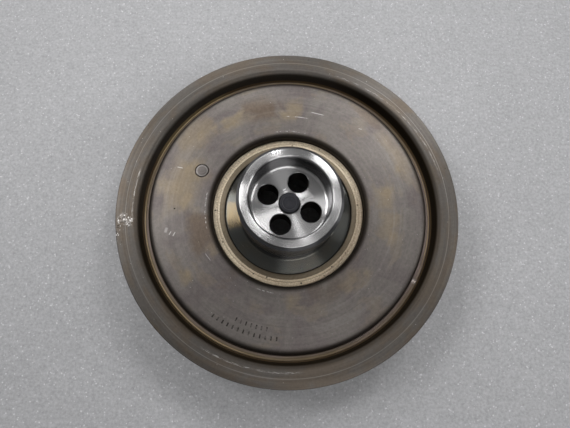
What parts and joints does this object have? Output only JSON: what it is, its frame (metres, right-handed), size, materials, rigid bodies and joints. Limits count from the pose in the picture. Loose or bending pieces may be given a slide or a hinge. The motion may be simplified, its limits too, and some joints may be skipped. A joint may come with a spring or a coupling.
{
  "type": "crankshaft vibration damper",
  "caption": "Round sealed damper casing with a rolled cover and a deep ring groove, on a crank hub with a cupped nose, bolt holes and a centre pin.",
  "frame": {"origin": "centre of the casing's back face, on the shaft axis, where the part rests", "axes": "+Z along the shaft axis, from the back face towards the hub's nose; the fill plug lies towards -X, a little towards +Y"},
  "size_m": [0.26, 0.26, 0.073],
  "materials": {
    "casing_steel": "turned steel, lightly oiled and stained",
    "cover_steel": "pressed and turned sheet, heat stained",
    "seam_steel": "welded bead, straw coloured",
    "plug_steel": "satin",
    "hub_steel": "fine turned and ground",
    "pin_steel": "dark satin",
    "screw_steel": "black oxide",
    "dowel_steel": "ground",
    "ring_iron": "machined, oiled",
    "bush_bronze": "turned bronze",
    "slide_ring_bronze": "bronze filled bearing plastic"
  },
  "bodies": {
    "damper": {"damper_casing": "casing_steel", "front_cover": "cover_steel", "inner_weld_seam": "seam_steel", "outer_weld_seam": "seam_steel", "fill_plug": "plug_steel", "crank_hub": "hub_steel", "centre_pin": "pin_steel", "hub_screw_1": "screw_steel", "hub_screw_2": "screw_steel", "hub_screw_3": "screw_steel", "hub_screw_4": "screw_steel", "hub_screw_5": "screw_steel", "hub_screw_6": "screw_steel", "hub_screw_7": "screw_steel", "hub_screw_8": "screw_steel", "dowel_pin_1": "dowel_steel", "dowel_pin_2": "dowel_steel"},
    "inertia": {"inertia_ring": "ring_iron", "radial_bush": "bush_bronze", "front_slide_ring": "slide_ring_bronze", "rear_slide_ring": "slide_ring_bronze"}
  },
  "joints": [
    {"name": "inertia_spin", "type": "hinge", "parent": "damper", "child": "inertia", "pos_m": [0, 0, 0.0195], "axis": [0, 0, 1], "continuous": true}
  ]
}
